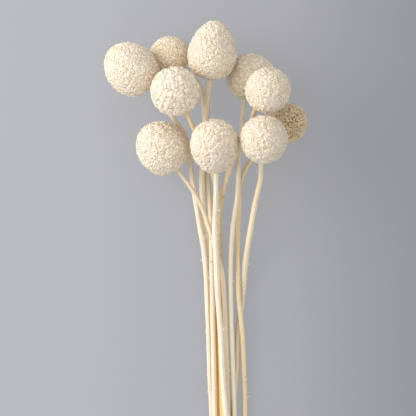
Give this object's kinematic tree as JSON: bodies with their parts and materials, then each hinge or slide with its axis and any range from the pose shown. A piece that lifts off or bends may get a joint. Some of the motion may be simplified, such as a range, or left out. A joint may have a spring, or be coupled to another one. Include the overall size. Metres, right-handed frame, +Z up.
{
  "type": "billy buttons stem",
  "caption": "Bunch of bleached, dried billy buttons: ivory globe heads of packed florets on bare pale stems, bound with twine and lying down.",
  "frame": {"origin": "on the table under the middle of the bunch's bounding box", "axes": "+Y along the stems towards the heads, +X to the right as the heads are seen from above, +Z up"},
  "size_m": [0.1122, 0.3798, 0.0538],
  "materials": {
    "ivory_florets": "matte, densely granular",
    "tan_florets": "matte, densely granular",
    "straw_stem": "satin, finely grooved",
    "jute_twine": "matte, fibrous"
  },
  "bodies": {
    "root": {"head_far_left": "ivory_florets", "head_back_left": "ivory_florets", "head_top": "ivory_florets", "head_left": "ivory_florets", "head_low_left": "ivory_florets", "head_low_centre": "ivory_florets", "head_back_right": "ivory_florets", "head_right": "ivory_florets", "head_low_right": "ivory_florets", "head_far_right": "tan_florets", "stem_far_left": "straw_stem", "stem_back_left": "straw_stem", "stem_top": "straw_stem", "stem_left": "straw_stem", "stem_low_left": "straw_stem", "stem_low_centre": "straw_stem", "stem_back_right": "straw_stem", "stem_right": "straw_stem", "stem_low_right": "straw_stem", "stem_far_right": "straw_stem", "tie": "jute_twine"}
  },
  "joints": []
}
